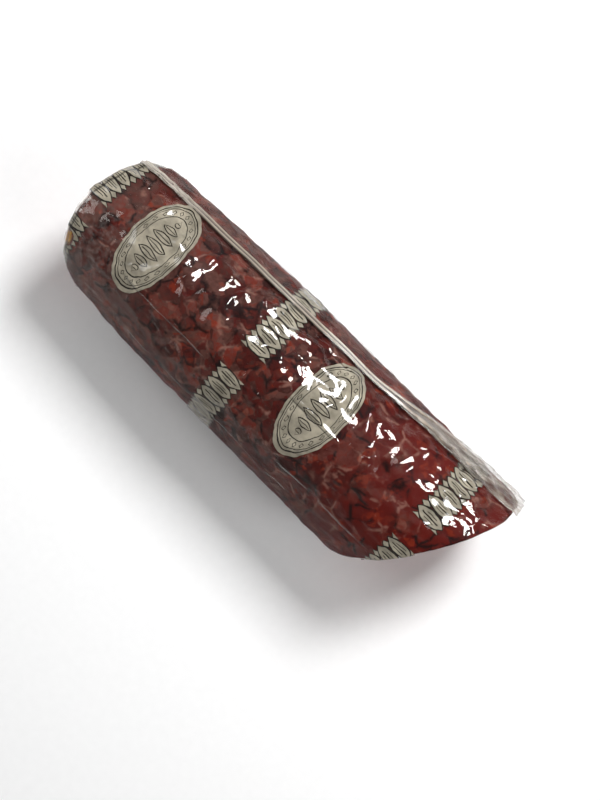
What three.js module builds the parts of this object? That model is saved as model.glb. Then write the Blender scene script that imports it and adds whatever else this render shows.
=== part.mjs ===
// A cut portion of dry cured sausage in its clear casing, lying on a flat surface.
// Millimetres, +Z up. The sausage's axis runs along X, with the long slanted cut at +X.
// The origin is at the middle of the footprint: the part rests on z = 0.
import * as THREE from 'three';
import { mergeVertices } from 'three/addons/utils/BufferGeometryUtils.js';

// Round body, measured on the outside of the casing.
const thickRadius = 27.35;
const taperLoss = 2.0; // how much the radius shrinks from the thick part to the thin end
const taperStartX = 44;
const taperLength = 110;
const taperPower = 3;

// Where the two cuts meet the axis, and how far each cut leans per millimetre sideways and upwards.
const farCut = { x: -69.8, leanY: 0, leanZ: -0.5 };
const nearCut = { x: 61.9, leanY: 0.53, leanZ: 0.34 };

// The thin end's rim has dried and curled in.
const rimDepth = 6.5; // along the axis
const rimDrop = 1.8; // towards the axis
const rimFilmTurn = THREE.MathUtils.degToRad(64); // how far round the rim the casing reaches

// The body's own weight presses a narrow flat along its underside.
const pressDepth = 1.2;

// Casing.
const filmThickness = 0.5;
const filmClearance = 0.3; // between the meat and the casing
const filmOverhang = 0.8; // how far the casing stands past the slanted cut
const filmBuild = filmThickness + filmClearance;

// Seam: its place round the body is an angle from straight up towards +Y.
const seam = {
  thickness: 0.5,
  clearance: 0.45,
  width: 2.8,
  flapWidth: 15,
  angle: THREE.MathUtils.degToRad(45.5),
  flapAngle: THREE.MathUtils.degToRad(62),
  flapStartX: 11,
  flapFullX: 61,
  rimTurn: THREE.MathUtils.degToRad(52), // how far round the rim the strip reaches
};

const sidesRound = 48;
const bodySteps = 18;
const rimSteps = 5;
const seamSteps = 44;
const seamStepsAcross = 5;

// Radius of the casing's outside at a place along the axis, before the rim.
function outerRadius(x) {
  const along = Math.max((taperStartX - x) / taperLength, 0);
  return thickRadius - taperLoss * along ** taperPower;
}

// The same radius, with the thin end's rim curling in.
function skinRadius(x) {
  const rimX = farCut.x + rimDepth;
  if (x >= rimX) return outerRadius(x);
  const round = Math.sqrt(1 - ((rimX - x) / rimDepth) ** 2);
  return outerRadius(rimX) - rimDrop * (1 - round);
}

function axisHeight(x) {
  return outerRadius(x) - pressDepth;
}

// How far a point beside the axis is carried along X so that both ends come out as slanted flat cuts.
function slant(x, y, up) {
  const t = (x - farCut.x) / (nearCut.x - farCut.x);
  const far = farCut.leanY * y + farCut.leanZ * up;
  const near = nearCut.leanY * y + nearCut.leanZ * up;
  return THREE.MathUtils.lerp(far, near, t);
}

// Profile of the skin line from the far rim to the slanted cut, set off from the casing's outside by a
// distance towards the meat, which is also how high it lies above the surface underneath.
function skinLine(inset, nearX, rimTurn) {
  const line = [];
  const rimX = farCut.x + rimDepth;
  const rimRadius = outerRadius(rimX) - rimDrop;
  for (let i = rimSteps; i > 0; i--) {
    const turn = (rimTurn * i) / rimSteps;
    const radius = rimRadius + (rimDrop - inset) * Math.cos(turn);
    line.push({ radius, x: rimX - (rimDepth - inset) * Math.sin(turn), lowest: inset });
  }
  for (let i = 0; i <= bodySteps; i++) {
    const x = THREE.MathUtils.lerp(rimX, nearX, i / bodySteps);
    line.push({ radius: outerRadius(x) - inset, x, lowest: inset });
  }
  return line;
}

// Turns a profile round the sausage's axis, lays it on the surface and slants its ends.
function turnedBody(profile) {
  const outline = profile.map((point) => new THREE.Vector2(point.radius, point.x));
  const turned = new THREE.LatheGeometry(outline, sidesRound);
  turned.deleteAttribute('normal');
  turned.deleteAttribute('uv');
  turned.rotateZ(-Math.PI / 2);
  const place = turned.attributes.position;
  for (let i = 0; i < place.count; i++) {
    const { lowest } = profile[i % profile.length];
    const x = place.getX(i);
    const y = place.getY(i);
    const height = axisHeight(x);
    const z = Math.max(height + place.getZ(i), lowest);
    place.setXYZ(i, x + slant(x, y, z - height), y, z);
  }
  const body = mergeVertices(turned);
  body.computeVertexNormals();
  return body;
}

function meatGeometry() {
  const skin = skinLine(filmBuild, nearCut.x, Math.PI / 2);
  const farPole = { ...skin[0], radius: 0 };
  const nearPole = { ...skin[skin.length - 1], radius: 0 };
  return turnedBody([farPole, ...skin, nearPole]);
}

function filmGeometry() {
  const nearX = nearCut.x + filmOverhang;
  const outside = skinLine(0, nearX, rimFilmTurn);
  const inside = skinLine(filmThickness, nearX, rimFilmTurn);
  return turnedBody([...outside, ...inside.reverse(), outside[0]]);
}

// The strip starts as a straight flat bar and is bent onto the casing, point by point.
function seamGeometry() {
  const startX = farCut.x + rimDepth * (1 - Math.sin(seam.rimTurn));
  const endX = nearCut.x + filmOverhang;
  const bar = new THREE.BoxGeometry(1, 1, seam.thickness, seamSteps, seamStepsAcross, 1);
  bar.deleteAttribute('normal');
  bar.deleteAttribute('uv');
  const strip = mergeVertices(bar);
  const place = strip.attributes.position;
  for (let i = 0; i < place.count; i++) {
    const x = THREE.MathUtils.lerp(startX, endX, place.getX(i) + 0.5);
    const open = THREE.MathUtils.smoothstep(x, seam.flapStartX, seam.flapFullX);
    const width = THREE.MathUtils.lerp(seam.width, seam.flapWidth, open);
    const radius = skinRadius(x) + seam.clearance + seam.thickness / 2 + place.getZ(i);
    const middle = THREE.MathUtils.lerp(seam.angle, seam.flapAngle, open);
    const angle = middle + (place.getY(i) * width) / radius;
    const y = radius * Math.sin(angle);
    const up = radius * Math.cos(angle);
    place.setXYZ(i, x + slant(x, y, up), y, axisHeight(x) + up);
  }
  strip.computeVertexNormals();
  return strip;
}

function subPart(name, geometry, color, roughness, options = {}) {
  const material = new THREE.MeshStandardMaterial({ color, roughness, metalness: 0, ...options });
  const mesh = new THREE.Mesh(geometry, material);
  mesh.name = name;
  return mesh;
}

const curedSausage = new THREE.Group();
curedSausage.add(subPart('sausage_meat', meatGeometry(), 0x6b2420, 0.45));
curedSausage.add(subPart('casing_film', filmGeometry(), 0xc9beb0, 0.2, { transparent: true, opacity: 0.35 }));
curedSausage.add(subPart('seam_strip', seamGeometry(), 0xb9aea2, 0.3, { transparent: true, opacity: 0.6 }));

export default curedSausage;
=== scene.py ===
import math

import bmesh
import bpy
from mathutils import Matrix, Vector, noise


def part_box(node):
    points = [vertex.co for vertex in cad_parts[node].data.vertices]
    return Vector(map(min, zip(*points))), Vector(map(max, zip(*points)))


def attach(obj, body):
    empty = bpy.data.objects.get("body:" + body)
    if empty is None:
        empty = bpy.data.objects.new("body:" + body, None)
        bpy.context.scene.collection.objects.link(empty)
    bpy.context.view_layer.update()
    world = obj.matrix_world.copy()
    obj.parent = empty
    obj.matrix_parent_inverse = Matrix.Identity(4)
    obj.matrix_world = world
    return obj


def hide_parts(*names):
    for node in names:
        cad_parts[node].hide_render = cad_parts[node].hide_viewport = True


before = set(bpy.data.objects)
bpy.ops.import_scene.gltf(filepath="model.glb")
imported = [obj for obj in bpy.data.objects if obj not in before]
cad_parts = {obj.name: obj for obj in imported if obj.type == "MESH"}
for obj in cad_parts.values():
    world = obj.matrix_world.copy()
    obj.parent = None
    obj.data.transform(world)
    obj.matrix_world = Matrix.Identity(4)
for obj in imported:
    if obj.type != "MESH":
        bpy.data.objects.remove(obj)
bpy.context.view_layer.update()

mm = 0.001


# The laid sausage's own shape, in millimetres: its meat and its casing both follow it.
shape = {
    "thickRadius": (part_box("casing_film")[1].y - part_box("casing_film")[0].y) / 2 / mm,
    "taperLoss": 2.0,
    "taperStart": 44.0,
    "taperLength": 110.0,
    "pressed": 1.2,  # depth of the flat underneath
    "farCut": -69.8,
    "farLeanUp": -0.5,
    "nearCut": 61.9,
    "nearLeanSide": 0.53,
    "nearLeanUp": 0.34,
    "rimDepth": 6.5,
    "rimDrop": 1.8,
    "swell": 0.45,
    "swellSize": 17.0,
}


def outerRadius(x):
    along = max((shape["taperStart"] - x) / shape["taperLength"], 0)
    return shape["thickRadius"] - shape["taperLoss"] * along**3


def skinRadius(x):
    rimX = shape["farCut"] + shape["rimDepth"]
    if x >= rimX:
        return outerRadius(x)
    turn = min((rimX - x) / shape["rimDepth"], 1)
    return outerRadius(rimX) - shape["rimDrop"] * (1 - math.sqrt(1 - turn * turn))


def slant(x, y, up):
    t = (x - shape["farCut"]) / (shape["nearCut"] - shape["farCut"])
    near = shape["nearLeanSide"] * y + shape["nearLeanUp"] * up
    return (1 - t) * shape["farLeanUp"] * up + t * near


def laid(x, angle, radius, lowest):
    height = outerRadius(x) - shape["pressed"]
    y = radius * math.sin(angle)
    z = max(height + radius * math.cos(angle), lowest)
    return Vector((x + slant(x, y, z - height), y, z))


def swell(p):
    return shape["swell"] * noise.noise(p / shape["swellSize"])


def ridged(p, size):
    return (1 - abs(noise.noise(p / size)) * 2) ** 2


# The film is drawn tight, so its wrinkles are pressed into the meat as well.
wrinkle = {
    "ridge": 0.62,
    "ridgeSize": 9.0,
    "dent": 0.70,
    "dentSize": 4.6,
    "streak": 0.11,
    "streakSize": 3.4,
    "handled": 28.0,  # degrees from straight up, towards the seam, where the film is crumpled most
    "spread": 48.0,
    "calm": 0.42,
    # Each pleat: degrees from straight up, depth, and where it starts and ends along the sausage.
    "pleats": [(-28.0, 0.45, -56, -18), (-6.0, 0.50, 2, 28), (36.0, 0.42, -2, 16), (-60.0, 0.34, -48, 30),
               (-44.0, 0.38, 14, 52), (86.0, 0.30, -40, 44), (128.0, 0.34, -10, 50), (-118.0, 0.34, -50, 12)],
    "pleatWander": 2.5,
    "pleatWidth": 0.65,
}


def smooth(x, low, high):
    t = min(max((x - low) / (high - low), 0), 1)
    return t * t * (3 - 2 * t)


# A pleat's dent, and fold, the share of painted shade laid along its valley.
def pleatFold(p, angle):
    height, fold = 0.0, 0.0
    for place, depth, startX, endX in wrinkle["pleats"]:
        drift = wrinkle["pleatWander"] * noise.noise(Vector((p.x / 24, place, 0)))
        off = (math.degrees(angle) - place - drift + 180) % 360 - 180
        across = math.radians(off) * shape["thickRadius"] / wrinkle["pleatWidth"]
        strength = smooth(p.x, startX - 3, startX + 5) * smooth(-p.x, -endX - 3, -endX + 5)
        strength *= 0.75 + 0.5 * noise.noise(Vector((p.x / 9, place, 9)))
        valleyAndShade = math.exp(-((across * 1.6) ** 2))
        height += depth * strength * (math.exp(-((across - 1) ** 2)) - 0.9 * valleyAndShade)
        fold = max(fold, strength * valleyAndShade)
    return height, fold


def wrinkles(p, angle):
    off = (math.degrees(angle) - wrinkle["handled"] + 180) % 360 - 180
    crumpled = wrinkle["calm"] + (1 - wrinkle["calm"]) * math.exp(-((off / wrinkle["spread"]) ** 2))
    warp = noise.noise_vector(p / 7.0)
    bent = p + 1.8 * warp
    height = wrinkle["ridge"] * ridged(bent, wrinkle["ridgeSize"])
    height += wrinkle["dent"] * noise.noise((bent + Vector((40, 0, 0))) / wrinkle["dentSize"])
    drawn = Vector((p.x * 0.22, p.y, p.z))
    streak = wrinkle["streak"] * ridged(drawn + 0.5 * warp, wrinkle["streakSize"])
    return crumpled * height + (1.4 - crumpled) * streak


def makeObject(name, bm, smooth=True):
    mesh = bpy.data.meshes.new(name)
    bm.to_mesh(mesh)
    bm.free()
    mesh.transform(Matrix.Scale(mm, 4))
    if smooth:
        mesh.polygons.foreach_set("use_smooth", [True] * len(mesh.polygons))
    piece = bpy.data.objects.new(name, mesh)
    bpy.context.scene.collection.objects.link(piece)
    return piece


# Arithmetic on a Value adds Math nodes to its material.
class Value:
    def __init__(self, finish, socket):
        self.finish = finish
        self.socket = socket

    def maths(self, operation, *others, clamp=False):
        sockets = dict(enumerate((self, *others)))
        return self.finish.node("Math", {"operation": operation, "use_clamp": clamp}, sockets).out()

    def __add__(self, other):
        return self.maths("ADD", other)

    def __radd__(self, other):
        return self.maths("ADD", other)

    def __sub__(self, other):
        return self.maths("SUBTRACT", other)

    def __rsub__(self, other):
        return (self * -1) + other

    def __mul__(self, other):
        return self.maths("MULTIPLY", other)

    def __rmul__(self, other):
        return self.maths("MULTIPLY", other)

    def __truediv__(self, other):
        return self.maths("DIVIDE", other)

    def __pow__(self, other):
        return self.maths("POWER", other)

    def __lt__(self, other):
        return self.maths("LESS_THAN", other)

    def __gt__(self, other):
        return self.maths("GREATER_THAN", other)

    def __abs__(self):
        return self.maths("ABSOLUTE")

    def least(self, other):
        return self.maths("MINIMUM", other)

    def most(self, other):
        return self.maths("MAXIMUM", other)

    def held(self):
        return self.maths("ADD", 0.0, clamp=True)

    def ramp(self, low, high):
        limits = {"Value": self, "From Min": low, "From Max": high}
        return self.finish.node("MapRange", {"interpolation_type": "SMOOTHSTEP"}, limits).out()


class Made:
    def __init__(self, finish, node):
        self.finish = finish
        self.node = node

    def out(self, name=None):
        outputs = self.node.outputs
        if name is None:
            return Value(self.finish, next(s for s in outputs if s.enabled))
        return Value(self.finish, next(s for s in outputs if s.enabled and s.name == name))


class Finish:
    def __init__(self, name):
        self.material = bpy.data.materials.new(name)
        self.material.use_nodes = True
        self.tree = self.material.node_tree
        self.tree.nodes.clear()

    def node(self, kind, settings=None, sockets=None):
        node = self.tree.nodes.new("ShaderNode" + kind)
        for name, value in (settings or {}).items():
            if name == "stops":
                self.setStops(node, value)
            else:
                setattr(node, name, value)
        for name, value in (sockets or {}).items():
            self.feed(node, name, value)
        return Made(self, node)

    def feed(self, node, name, value):
        if isinstance(name, int):
            socket = node.inputs[name]
        else:
            socket = next(s for s in node.inputs if s.enabled and s.name == name)
        if isinstance(value, Value):
            self.tree.links.new(value.socket, socket)
        else:
            socket.default_value = value

    def setStops(self, node, stops):
        elements = node.color_ramp.elements
        while len(elements) < len(stops):
            elements.new(0.5)
        for element, (place, colour) in zip(elements, stops):
            element.position = place
            element.color = (*colour, 1.0)

    def place(self):
        return self.node("TexCoord").out("Object")

    def sheetPlace(self, name):
        apart = self.node("SeparateXYZ", None, {"Vector": self.node("UVMap", {"uv_map": name}).out()})
        return apart.out("X"), apart.out("Y")

    def scaled(self, vector, by):
        return self.node("VectorMath", {"operation": "MULTIPLY"}, {0: vector, 1: by}).out()

    def shifted(self, vector, by):
        return self.node("VectorMath", {"operation": "ADD"}, {0: vector, 1: by}).out()

    def noise(self, vector, size, detail=2.0, rough=0.5, warp=0.0, output="Fac"):
        sockets = {"Vector": vector, "Scale": 1 / (size * mm), "Detail": detail,
                   "Roughness": rough, "Distortion": warp}
        return self.node("TexNoise", None, sockets).out(output)

    def cells(self, vector, size, feature="F1", output="Distance", jitter=1.0):
        sockets = {"Vector": vector, "Scale": 1 / (size * mm), "Randomness": jitter}
        return self.node("TexVoronoi", {"feature": feature}, sockets).out(output)

    def warped(self, vector, size, reach):
        drift = self.noise(vector, size, 1.0, output="Color")
        drift = self.shifted(drift, (-0.5, -0.5, -0.5))
        return self.shifted(vector, self.scaled(drift, (reach * mm,) * 3))

    def colours(self, value, stops):
        return self.node("ValToRGB", {"stops": stops}, {"Fac": value}).out("Color")

    def mix(self, share, first, second, blend="MIX"):
        settings = {"data_type": "RGBA", "blend_type": blend}
        return self.node("Mix", settings, {"Factor": share, "A": first, "B": second}).out("Result")

    def bump(self, height, distance, strength=1.0, normal=None):
        sockets = {"Height": height, "Distance": distance * mm, "Strength": strength}
        if normal is not None:
            sockets["Normal"] = normal
        return self.node("Bump", None, sockets).out()

    def surface(self, sockets):
        shader = self.node("BsdfPrincipled", None, sockets)
        self.node("OutputMaterial", None, {"Surface": shader.out()})
        return self.material


def rgb(red, green, blue, alpha=1.0):
    return (red, green, blue, alpha)


# Meat seen through its casing: chunks of lean of several reds, smeared fat between them.
meatLook = {
    "chunk": 6.4,
    "crumb": 2.7,
    "lean": [
        (0.00, (0.007, 0.0018, 0.0016)),
        (0.22, (0.024, 0.0036, 0.0028)),
        (0.40, (0.068, 0.0065, 0.0042)),
        (0.52, (0.040, 0.0115, 0.0088)),
        (0.66, (0.090, 0.0340, 0.0260)),
        (0.80, (0.115, 0.0125, 0.0065)),
        (1.00, (0.170, 0.0850, 0.0640)),
    ],
    "orange": rgb(0.20, 0.022, 0.006),
    "smear": rgb(0.24, 0.120, 0.092),
    # gap: the painted shade in the crevices between chunks.
    "gap": rgb(0.006, 0.002, 0.002),
    "farTint": rgb(0.098, 0.046, 0.037),
    "nearTint": rgb(0.085, 0.0045, 0.0025),
    "fatSpot": (-78.2, -15.4, 42.6),
    "fatSpotSize": 3.0,
    "fat": rgb(0.55, 0.27, 0.030),
}


def meatSkinFinish():
    f = Finish("meatSkin")
    at = f.place()
    bent = f.warped(f.warped(at, 9.0, 3.4), 2.4, 1.0)
    chunk = f.node("SeparateColor", None, {"Color": f.cells(bent, meatLook["chunk"], "F1", "Color")})
    crumb = f.node("SeparateColor", None, {"Color": f.cells(bent, meatLook["crumb"], "F1", "Color")})
    grain = f.noise(bent, 1.7, 2.0, 0.5)
    cloud = f.noise(at, 16.0, 2.0)
    tone = chunk.out("Red") * 0.55 + crumb.out("Red") * 0.30 + grain * 0.36 + cloud * 0.30 - 0.27
    colour = f.colours(tone.held(), meatLook["lean"])
    apart = f.node("SeparateXYZ", None, {"Vector": at})
    far = apart.out("X").ramp(-0.010, -0.070) * f.noise(at, 8.0, 2.0).ramp(0.35, 0.60)
    near = apart.out("X").ramp(0.005, 0.055) * f.noise(f.shifted(at, (0.5, 0, 0)), 9.0, 2.0).ramp(0.28, 0.50)
    colour = f.mix(far * 0.55, colour, meatLook["farTint"])
    colour = f.mix(near * 0.85, colour, meatLook["nearTint"])
    orange = crumb.out("Green").ramp(0.86, 0.92) * grain.ramp(0.38, 0.60)
    colour = f.mix(orange * 0.45, colour, meatLook["orange"])
    border = f.cells(bent, meatLook["chunk"], "DISTANCE_TO_EDGE")
    patchy = f.noise(at, 6.0, 3.0, 0.6)
    smear = border.ramp(0.11, 0.0) * patchy.ramp(0.52, 0.66)
    # Near-black lines along some chunk borders, which the bump sinks, are painted shade in the crevices between
    # chunks.
    gap = border.ramp(0.13, 0.0) * patchy.ramp(0.52, 0.39)
    colour = f.mix(smear * 0.58, colour, meatLook["smear"])
    colour = f.mix(gap * 0.92, colour, meatLook["gap"])
    spotAt = tuple(value * mm for value in meatLook["fatSpot"])
    spot = f.node("VectorMath", {"operation": "DISTANCE"}, {0: at, 1: spotAt}).out("Value")
    spot = (spot / mm + f.noise(at, 2.0, 2.0) * 3.0).ramp(meatLook["fatSpotSize"] + 1.5, meatLook["fatSpotSize"])
    colour = f.mix(spot * 0.9, colour, meatLook["fat"])
    relief = border.ramp(0.0, 0.20) * 0.6 + grain * 0.6
    return f.surface({
        "Base Color": colour,
        "Roughness": 0.60 - 0.15 * grain,
        "Specular IOR Level": 0.06,
        "Normal": f.bump(relief, 0.35, 0.22),
    })


cutLook = {
    "grain": 1.7,
    "lean": [(0.0, (0.150, 0.014, 0.012)), (0.55, (0.260, 0.030, 0.022)), (1.0, (0.330, 0.060, 0.040))],
    "fat": rgb(0.60, 0.36, 0.27),
    "dry": rgb(0.060, 0.012, 0.010),
}


def meatCutFinish():
    f = Finish("meatCut")
    at = f.place()
    bent = f.warped(f.warped(at, 5.0, 2.4), 1.6, 0.9)
    grain = f.cells(bent, cutLook["grain"], "F1", "Color")
    pick = f.node("SeparateColor", None, {"Color": grain})
    tone = pick.out("Green") * 0.5 + f.noise(at, 6.0, 3.0) * 0.5
    colour = f.colours(tone, cutLook["lean"])
    inside = f.cells(bent, cutLook["grain"], "DISTANCE_TO_EDGE").ramp(0.02, 0.20)
    fat = (pick.out("Red") > 0.68) * inside * (0.45 + 0.55 * pick.out("Blue"))
    fine = f.cells(f.warped(at, 1.4, 0.6), 0.8).ramp(0.30, 0.16) * f.noise(at, 4.0).ramp(0.45, 0.6)
    fat = fat.most(fine * 0.8)
    colour = f.mix(fat, colour, cutLook["fat"])
    rim = f.node("Attribute", {"attribute_name": "rimShare"}).out("Fac")
    colour = f.mix(rim.ramp(0.86, 1.0) * 0.75, colour, cutLook["dry"])
    relief = f.noise(at, 0.9, 4.0, 0.6) + fat * 0.5
    return f.surface({
        "Base Color": colour,
        "Roughness": 0.50 - 0.2 * fat,
        "Specular IOR Level": 0.5,
        "Coat Weight": 0.15,
        "Coat Roughness": 0.3,
        "Normal": f.bump(relief, 0.3, 0.6),
    })


meat = {
    "inset": 0.8,
    "around": 290,
    "along": 230,
    "rimSteps": 10,
    "faceRings": 26,
    "grainHeight": 0.14,
    "grainSize": 3.2,
    "pressedIn": 0.8,  # share of the film's wrinkles that is pressed into the meat
    "gap": 0.15,
    "cutHeight": 0.16,
    "cutGrain": 1.5,
}


# The profile runs from the axis at the thin end, out, along the skin and back to the axis, and is spun.
def makeMeat():
    lowest = meat["inset"]
    rimX = shape["farCut"] + shape["rimDepth"]
    rimRadius = outerRadius(rimX) - shape["rimDrop"]
    farX = shape["farCut"] + lowest
    profile = []
    for i in range(meat["faceRings"]):
        profile.append((rimRadius * i / meat["faceRings"], farX, "cut"))
    for i in range(meat["rimSteps"]):
        turn = math.pi / 2 * (1 - i / meat["rimSteps"])
        radius = rimRadius + (shape["rimDrop"] - lowest) * math.cos(turn)
        profile.append((radius, rimX - (shape["rimDepth"] - lowest) * math.sin(turn), "skin"))
    for i in range(meat["along"] + 1):
        x = rimX + (shape["nearCut"] - rimX) * i / meat["along"]
        profile.append((outerRadius(x) - lowest, x, "skin"))
    nearRadius = profile[-1][0]
    for i in range(meat["faceRings"]):
        share = 1 - (i + 1) / meat["faceRings"]
        profile.append((nearRadius * share, shape["nearCut"], "cut"))
    bm = bmesh.new()
    ring = bm.verts.layers.int.new("ring")
    verts = [bm.verts.new((x, 0, radius)) for radius, x, _ in profile]
    for i, v in enumerate(verts):
        v[ring] = i
    edges = [bm.edges.new(pair) for pair in zip(verts, verts[1:])]
    bmesh.ops.spin(bm, geom=verts + edges, cent=(0, 0, 0), axis=(1, 0, 0), angle=2 * math.pi,
                   steps=meat["around"], use_merge=True)
    bmesh.ops.remove_doubles(bm, verts=bm.verts, dist=1e-4)
    bmesh.ops.recalc_face_normals(bm, faces=bm.faces)
    rimShare = bm.verts.layers.float.new("rimShare")
    for v in bm.verts:
        radius, x, part = profile[v[ring]]
        angle = math.atan2(v.co.y, v.co.z)
        p = laid(x, angle, radius, lowest)
        edgeRadius = rimRadius if x < 0 else nearRadius
        v[rimShare] = radius / edgeRadius if part == "cut" else 1.0
        grain = meat["grainHeight"] * noise.noise(p / meat["grainSize"])
        outside = laid(x, angle, radius + lowest, 0)
        lift = swell(outside) + meat["pressedIn"] * wrinkles(outside, angle) - meat["gap"]
        if part == "skin":
            lift += grain + min(pleatFold(outside, angle)[0], 0)
            p = laid(x, angle, radius + lift, lowest)
        else:
            push = meat["cutHeight"] * noise.noise(p / meat["cutGrain"])
            p.x += push * (1 - v[rimShare] ** 6)
            outwards = lift * v[rimShare] ** 8
            p.y += outwards * math.sin(angle)
            p.z += max(outwards * math.cos(angle), lowest - p.z)
        v.co = p
    for face in bm.faces:
        cut = sum(profile[v[ring]][2] == "cut" for v in face.verts)
        face.material_index = 1 if cut >= 2 else 0
    piece = makeObject("sausageMeat", bm)
    piece.data.materials.append(meatSkinFinish())
    piece.data.materials.append(meatCutFinish())
    return piece


# The clear casing: a flat printed sheet, rolled round the meat from one seam edge to the other.
film = {
    "around": 330,
    "along": 285,
    "seamAngle": math.radians(45.5),
    "lift": 0.16,  # how far it stands off the meat
    "overhang": 0.35,
    "rimTurn": math.radians(66),
    "mirror": 0.050,  # share of the light that clear film mirrors
    "printCover": 0.93,
}


def makeFilm():
    bm = bmesh.new()
    sheetPlace = bm.loops.layers.uv.new("sheetPlace")
    bmesh.ops.create_grid(bm, x_segments=film["around"], y_segments=film["along"], size=0.5, calc_uvs=True)
    fromRim = bm.verts.layers.float.new("fromRim")
    foldShare = bm.verts.layers.float.new("foldShare")
    rimX = shape["farCut"] + shape["rimDepth"]
    startX = rimX - shape["rimDepth"] * math.sin(film["rimTurn"])
    endX = shape["nearCut"] + film["overhang"]
    turns = {}
    for v in bm.verts:
        turn = v.co.x + 0.5
        angle = film["seamAngle"] + turn * 2 * math.pi
        x = startX + (v.co.y + 0.5) * (endX - startX)
        p = laid(x, angle, skinRadius(x), 0)
        settle = min(min(x - startX, endX - x) / 3.0, 1)
        pleat, fold = pleatFold(p, angle)
        lift = swell(p) + wrinkles(p, angle) - meat["inset"] + film["lift"] + pleat * settle
        ragged = 0.35 * noise.noise(p / 4.0) * (1 - settle)
        turns[v] = turn
        v.co = laid(x + ragged, angle, skinRadius(x) + lift, 0.02)
        v[fromRim] = x - startX
        # The share of painted shade along the pleats' valleys, eased off towards the film's ends.
        v[foldShare] = fold * settle
    for face in bm.faces:
        for loop in face.loops:
            arc = turns[loop.vert] * 2 * math.pi * shape["thickRadius"]
            loop[sheetPlace].uv = (arc * mm, loop.vert.co.x * mm)
    bmesh.ops.remove_doubles(bm, verts=bm.verts, dist=1e-4)
    bmesh.ops.recalc_face_normals(bm, faces=bm.faces)
    piece = makeObject("casingFilm", bm)
    piece.data.materials.append(filmFinish())
    return piece


# Print on the casing, in millimetres. A place round the sausage is an arc length from straight up.
ink = {
    "fill": rgb(0.278, 0.250, 0.193),
    "line": rgb(0.022, 0.020, 0.017),
    "bands": (-78.6, -10.9, 61.1),
    "bandHalf": 4.9,
    "motifPitch": 4.5,
    "motifHalf": 1.85,
    "gaps": (-6.5, 36.0),  # where a band is left bare, once in each repeat
    "gapHalf": 2.6,
    "bareRadius": 3.4,  # round the fat spot on the thin end's rim
    "ovals": (-54.5, 15.3),
    "ovalArc": 1.5,
    "ovalLong": 19.2,
    "ovalShort": 9.0,
    "repeat": 2 * math.pi * shape["thickRadius"] / 2,
}

# The film's greyness, as the share of light that it scatters; the grey on its -Y side is partly a painted reflection
# of the pale floor.
haze = {
    "least": 0.001,
    "cloud": 0.003,
    "drawn": 0.016,
    "side": 0.030,
    "far": 0.080,
    "rim": 0.50,
    "colour": rgb(0.80, 0.75, 0.71),
}


def nearestOf(value, places):
    away = value - places[0]
    for place in places[1:]:
        other = value - place
        pick = abs(other) < abs(away)
        away = away + (other - away) * pick
    return away


# Leaves side by side round the sausage, each with a midrib, and a small diamond between two leaf tips.
def bandPrint(around, along):
    cell = around / ink["motifPitch"]
    p = (cell - cell.maths("FLOOR") - 0.5) * ink["motifPitch"]
    q = nearestOf(along, ink["bands"])
    inBand = abs(q) < ink["bandHalf"] + 0.3
    leaf = ink["motifHalf"] * (1 - (abs(q) / ink["bandHalf"]) ** 2.6) - abs(p)
    between = ink["motifPitch"] / 2 - abs(p)
    diamond = 1.35 - between * 1.5 - abs(abs(q) - ink["bandHalf"] + 1.1)
    body = leaf.most(diamond)
    rib = (abs(p) < 0.20) * (abs(q) < 3.0)
    vein = (abs(abs(p) - 0.85) < 0.12) * (abs(q) < 1.9)
    fill = body > 0.0
    line = ((body > -0.40) - fill + rib.most(vein) * fill).held() * inBand
    leafPlace = (cell.maths("FLOOR") + 0.5) * ink["motifPitch"] - ink["ovalArc"]
    local = (leafPlace / ink["repeat"] + 0.5).maths("FRACT") * ink["repeat"] - ink["repeat"] / 2
    kept = abs(nearestOf(local, ink["gaps"])) > ink["gapHalf"]
    return fill * kept, line * kept


# An oval with a double border, beads between the borders, and a row of petals along its middle.
def ovalPrint(around, along):
    turned = around - ink["ovalArc"]
    local = (turned / ink["repeat"] + 0.5).maths("FRACT") * ink["repeat"] - ink["repeat"] / 2
    s = nearestOf(along, ink["ovals"])
    radius = ((local / ink["ovalLong"]) ** 2 + (s / ink["ovalShort"]) ** 2).maths("SQRT")
    ring = (abs(radius - 0.91) < 0.014).most(abs(radius - 0.85) < 0.009).most(abs(radius - 0.66) < 0.012)
    turn = (s / ink["ovalShort"]).maths("ARCTAN2", local / ink["ovalLong"]) * (11 / math.pi)
    bead = abs(turn - turn.maths("ROUND")) + abs(radius - 0.755) * 5.0
    ring = ring.most((bead < 0.30) - (bead < 0.20))
    petalP = (local / 3.4 - (local / 3.4).maths("ROUND")) * 3.4
    petalHigh = 4.0 * (1 - (local / 11.5) ** 2)
    petal = 1.25 * (1 - (s / petalHigh.most(0.1)) ** 2) - abs(petalP)
    inside = radius < 0.62
    petalLine = (abs(petal) < 0.20).most((abs(petalP) < 0.14) * (petal > 0.5)) * inside
    return radius < 1.0, ring.most(petalLine)


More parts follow.
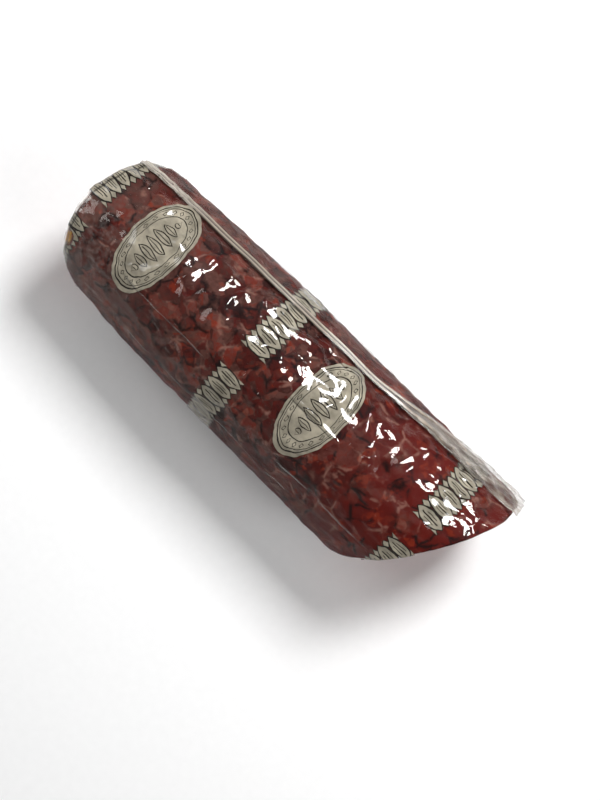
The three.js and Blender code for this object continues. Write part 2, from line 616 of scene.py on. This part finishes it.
def filmFinish():
    f = Finish("clearFilm")
    at = f.place()
    aroundRaw, alongRaw = f.sheetPlace("sheetPlace")
    wobble = f.noise(at, 5.0, 2.0)
    wobbleToo = f.noise(f.shifted(at, (0.3, 0.1, 0.2)), 5.0, 2.0)
    around = aroundRaw / mm + film["seamAngle"] * shape["thickRadius"] + (wobble - 0.5) * 1.5
    along = alongRaw / mm + (wobbleToo - 0.5) * 1.5
    bandFill, bandLine = bandPrint(around, along)
    ovalFill, ovalLine = ovalPrint(around, along)
    fill = bandFill.most(ovalFill)
    line = (bandLine * (1 - ovalFill)).most(ovalLine * ovalFill)
    spotAt = tuple(value * mm for value in meatLook["fatSpot"])
    bare = (f.node("VectorMath", {"operation": "DISTANCE"}, {0: at, 1: spotAt}).out("Value") / mm) < ink["bareRadius"]
    printed = fill.most(line) * (1 - bare)

    apart = f.node("SeparateXYZ", None, {"Vector": at})
    fromRim = f.node("Attribute", {"attribute_name": "fromRim"}).out("Fac")
    cloud = f.noise(at, 9.0, 3.0).ramp(0.42, 0.72)
    drawn = f.noise(f.scaled(at, (0.22, 1.0, 1.0)), 2.0, 3.0, 0.6).ramp(0.55, 0.70)
    # The grey on the -Y side, streaky and weaker towards the near end, is partly the film's clouding and partly a
    # painted reflection of the pale floor in its steep side.
    side = apart.out("Y").ramp(-0.008, -0.022)
    pulled = f.noise(f.warped(f.scaled(at, (0.12, 1.0, 1.0)), 6.0, 2.0), 2.6, 2.0, 0.5).ramp(0.47, 0.60)
    far = apart.out("X").ramp(-0.046, -0.074) * apart.out("Y").ramp(0.012, -0.014)
    mottle = f.noise(at, 1.3, 3.0, 0.6).ramp(0.40, 0.66)
    grey = haze["least"] + haze["cloud"] * cloud + haze["drawn"] * drawn
    calm = 1 - 0.6 * apart.out("X").ramp(0.010, 0.050)
    grey = grey + side * calm * (0.12 + 0.88 * pulled) * haze["side"] + far * mottle * haze["far"]
    grey = grey + haze["rim"] * fromRim.ramp(1.3, 0.7)
    solid = grey.most(printed * film["printCover"])
    steep = abs(apart.out("Y")).ramp(0.014, 0.025)
    clear = film["mirror"] * (1 - 0.6 * steep)
    alpha = solid + clear * (1 - solid)
    mirror = (clear * (1 - printed)) / alpha

    bent = f.warped(at, 6.0, 3.0)
    crease = abs(f.noise(bent, 5.0, 1.0, 0.4) - 0.5)
    fine = f.noise(bent, 3.4, 1.0, 0.4)
    # The ink's brightness varies at random with wear, and with the crease noise as painted light and shade of the
    # film's crumples.
    wearAndCreaseShade = 0.60 + 0.55 * f.noise(at, 4.0, 4.0, 0.6).ramp(0.25, 0.75) + 1.2 * crease
    inked = f.mix(line, ink["fill"], ink["line"])
    inked = f.mix(1.0, inked, f.node("CombineColor", None, {0: wearAndCreaseShade, 1: wearAndCreaseShade, 2: wearAndCreaseShade}).out(), "MULTIPLY")
    colour = f.mix(printed, haze["colour"], inked)
    # The pleats' valleys are darkened and made more opaque as painted shade; a line just inside the film's edge at
    # the thin end is darkened the same way.
    fold = f.node("Attribute", {"attribute_name": "foldShare"}).out("Fac").ramp(0.30, 0.80)
    fold = fold.most(fromRim.ramp(1.2, 1.5) * fromRim.ramp(2.1, 1.7) * 0.8)
    colour = f.mix(fold * 0.9, colour, ink["line"])
    alpha = alpha.most(fold * 0.75)
    return f.surface({
        "Base Color": colour,
        "Metallic": mirror,
        "Roughness": 0.07,
        "Specular IOR Level": 0.15,
        "Coat Weight": 1 - 0.88 * steep,
        "Coat Roughness": 0.05,
        "Alpha": alpha,
        "Normal": f.bump(fine, 0.5, 0.4, f.bump(crease, 1.3, 0.4)),
    })


# The film's sealed edge: a narrow doubled strip with two raised folds, opening into a loose flap.
seam = {
    "around": 24,
    "along": 300,
    "width": 2.8,
    "flapWidth": 15.0,
    "angle": math.radians(45.5),
    "flapAngle": math.radians(62),
    "flapStart": 11.0,
    "flapFull": 58.0,
    "lift": 0.45,
    "fold": 0.42,
    "thickness": 0.18,
    "rimTurn": math.radians(60),
    # dark and pale: the narrow strip runs from painted shade beside its folds to a painted highlight on their crests;
    # the loose flap's crumples run between them.
    "dark": rgb(0.055, 0.040, 0.034),
    "pale": rgb(0.40, 0.345, 0.28),
    "wide": rgb(0.56, 0.52, 0.46),
}


def makeSeam():
    bm = bmesh.new()
    bmesh.ops.create_grid(bm, x_segments=seam["along"], y_segments=seam["around"], size=0.5)
    across = bm.verts.layers.float.new("across")
    openShare = bm.verts.layers.float.new("openShare")
    farShare = bm.verts.layers.float.new("farShare")
    rimX = shape["farCut"] + shape["rimDepth"]
    startX = rimX - shape["rimDepth"] * math.sin(seam["rimTurn"])
    endX = shape["nearCut"] + film["overhang"]
    for v in bm.verts:
        x = startX + (v.co.x + 0.5) * (endX - startX)
        side = v.co.y
        opened = smooth(x, seam["flapStart"], seam["flapFull"])
        atFar = smooth(-x, 40, 62)
        width = seam["width"] * (1 + 0.30 * atFar * (0.6 + 0.8 * noise.noise(Vector((x / 5, 3, 0))))) + (seam["flapWidth"] - seam["width"]) * opened
        middle = seam["angle"] + (seam["flapAngle"] - seam["angle"]) * opened
        middle += (0.016 + 0.022 * atFar) * noise.noise(Vector((x / 9, 0, 0))) + 0.014 * math.sin(x / 21)
        angle = middle + side * width / shape["thickRadius"]
        p = laid(x, angle, skinRadius(x), 0)
        folds = math.exp(-((side - 0.27) / 0.10) ** 2) + math.exp(-((side + 0.25) / 0.10) ** 2)
        lift = seam["lift"] + swell(p) + seam["fold"] * folds * (1 - 0.6 * opened)
        lift += 0.5 * atFar * noise.noise(p / 3.2)
        lift += opened * (0.55 * ridged(Vector((p.x * 0.5, p.y, p.z)), 3.0) + 0.4 * noise.noise(p / 4.5))
        v.co = laid(x, angle, skinRadius(x) + lift, 0)
        v[across] = side
        v[openShare] = opened
        v[farShare] = atFar
    bmesh.ops.recalc_face_normals(bm, faces=bm.faces)
    if sum(face.normal.z for face in bm.faces) < 0:
        bmesh.ops.reverse_faces(bm, faces=bm.faces)
    piece = makeObject("seamStrip", bm)
    piece.data.materials.append(seamFinish())
    thick = piece.modifiers.new("thickness", "SOLIDIFY")
    thick.thickness = seam["thickness"] * mm
    thick.offset = -1
    return piece


def seamFinish():
    f = Finish("sealedFilm")
    at = f.place()
    across = f.node("Attribute", {"attribute_name": "across"}).out("Fac")
    opened = f.node("Attribute", {"attribute_name": "openShare"}).out("Fac")
    far = f.node("Attribute", {"attribute_name": "farShare"}).out("Fac")
    drawn = f.noise(f.scaled(at, (0.22, 1.0, 1.0)), 1.3, 3.0, 0.6)
    crumple = f.noise(f.warped(f.scaled(at, (0.5, 1.0, 1.0)), 4.0, 3.0), 2.2, 3.0, 0.6)
    # The narrow strip is painted lighter on its two fold crests, a painted highlight, and darker in its middle and at
    # its edges, painted shade between the folds.
    crestHighlight = abs(across - 0.27).ramp(0.13, 0.04).most(abs(across + 0.25).ramp(0.13, 0.04))
    valleyAndShade = abs(across).ramp(0.10, 0.03).most(abs(across).ramp(0.41, 0.47))
    narrow = (0.35 + 0.65 * crestHighlight) * (1 - 0.8 * valleyAndShade) * (0.7 + 0.6 * drawn)
    loose = crumple.ramp(0.34, 0.66) * 0.65 + drawn.ramp(0.45, 0.65) * 0.35
    share = narrow + (loose - narrow) * opened
    colour = f.mix(share.held(), seam["dark"], seam["pale"])
    colour = f.mix(far * (0.25 + 0.6 * crumple.ramp(0.38, 0.60)), colour, seam["wide"])
    cover = 0.80 + (0.16 + 0.5 * loose - 0.80) * opened - 0.30 * far * drawn.ramp(0.40, 0.60)
    return f.surface({
        "Base Color": colour,
        "Roughness": 0.20,
        "Specular IOR Level": 0.6,
        "Coat Weight": 0.5,
        "Coat Roughness": 0.08,
        "Alpha": cover.held(),
        "Normal": f.bump(drawn + crumple * opened, 0.3, 0.5),
    })


# A pale floor, soft light from above and behind, and one small bright lamp that the film glints in.
view = {
    "azimuth": 44.9,
    "elevation": 86.5,
    "distance": 0.400,
    "lens": 56.6,
    "target": (0.0080, 0.0001, 0.026),
}


def aim(thing, direction, distance, target):
    thing.location = target + direction * distance
    thing.rotation_euler = direction.to_track_quat("Z", "Y").to_euler()


def makeCamera():
    a, e = math.radians(view["azimuth"]), math.radians(view["elevation"])
    back = Vector((math.sin(a) * math.cos(e), -math.cos(a) * math.cos(e), math.sin(e)))
    right = Vector((math.cos(a), math.sin(a), 0))
    up = back.cross(right)
    turn = Matrix((right, up, back)).transposed().to_4x4()
    data = bpy.data.cameras.new("camera")
    data.lens = view["lens"]
    camera = bpy.data.objects.new("camera", data)
    camera.matrix_world = Matrix.Translation(Vector(view["target"]) + back * view["distance"]) @ turn
    bpy.context.scene.collection.objects.link(camera)
    bpy.context.scene.camera = camera


lamps = {
    "glint": {"towards": (0.04, 0.58, 0.80), "distance": 0.6, "size": (0.16, 0.20), "power": 4.0},
    "softFar": {"towards": (-0.85, -0.10, 0.55), "distance": 1.1, "size": (0.6, 0.9), "power": 5.2},
    "softNear": {"towards": (0.85, 0.15, 0.55), "distance": 1.1, "size": (0.6, 0.9), "power": 5.2},
}


skyGreys = [(0.0, 0.70), (0.10, 0.50), (0.30, 0.09), (1.0, 0.05)]  # height of the direction, grey


def makeLight():
    for name, lamp in lamps.items():
        data = bpy.data.lights.new(name, "AREA")
        data.shape = "RECTANGLE"
        data.size, data.size_y = lamp["size"]
        data.energy = lamp["power"]
        light = bpy.data.objects.new(name, data)
        aim(light, Vector(lamp["towards"]).normalized(), lamp["distance"], Vector((0, 0, 0.02)))
        bpy.context.scene.collection.objects.link(light)
    world = bpy.data.worlds.new("studio")
    world.use_nodes = True
    tree = world.node_tree
    apart = tree.nodes.new("ShaderNodeSeparateXYZ")
    tree.links.new(tree.nodes.new("ShaderNodeTexCoord").outputs["Generated"], apart.inputs[0])
    sky = tree.nodes.new("ShaderNodeValToRGB")
    while len(sky.color_ramp.elements) < len(skyGreys):
        sky.color_ramp.elements.new(0.5)
    for element, (height, grey) in zip(sky.color_ramp.elements, skyGreys):
        element.position = height
        element.color = (grey, grey, grey, 1)
    tree.links.new(apart.outputs["Z"], sky.inputs["Fac"])
    tree.links.new(sky.outputs["Color"], tree.nodes["Background"].inputs["Color"])
    bpy.context.scene.world = world
    bpy.context.scene.view_settings.view_transform = "Standard"


def makeFloor():
    bm = bmesh.new()
    bmesh.ops.create_grid(bm, x_segments=1, y_segments=1, size=2000)
    floor = makeObject("floor", bm, smooth=False)
    f = Finish("paleFloor")
    at = f.place()
    # Beyond half a metre from the middle the floor glows, fully at 1.3 m: painted light, not a lamp.
    away = f.node("VectorMath", {"operation": "LENGTH"}, {0: at}).out("Value").ramp(0.45, 1.3)
    floor.data.materials.append(f.surface({
        "Base Color": f.colours(f.noise(at, 3.0, 2.0), [(0.0, (0.86, 0.86, 0.86)), (1.0, (0.90, 0.90, 0.90))]),
        "Roughness": 0.7,
        "Emission Color": f.colours(away, [(0.0, (0.0, 0.0, 0.0)), (1.0, (0.62, 0.62, 0.62))]),
        "Emission Strength": 1.0,
    }))


print("camera and light")
makeCamera()
makeLight()
makeFloor()

print("meat")
sausageMeat = makeMeat()
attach(sausageMeat, "root")
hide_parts("sausage_meat")

print("casing")
casingFilm = makeFilm()
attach(casingFilm, "root")
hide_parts("casing_film")

print("seam")
seamStrip = makeSeam()
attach(seamStrip, "root")
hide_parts("seam_strip")
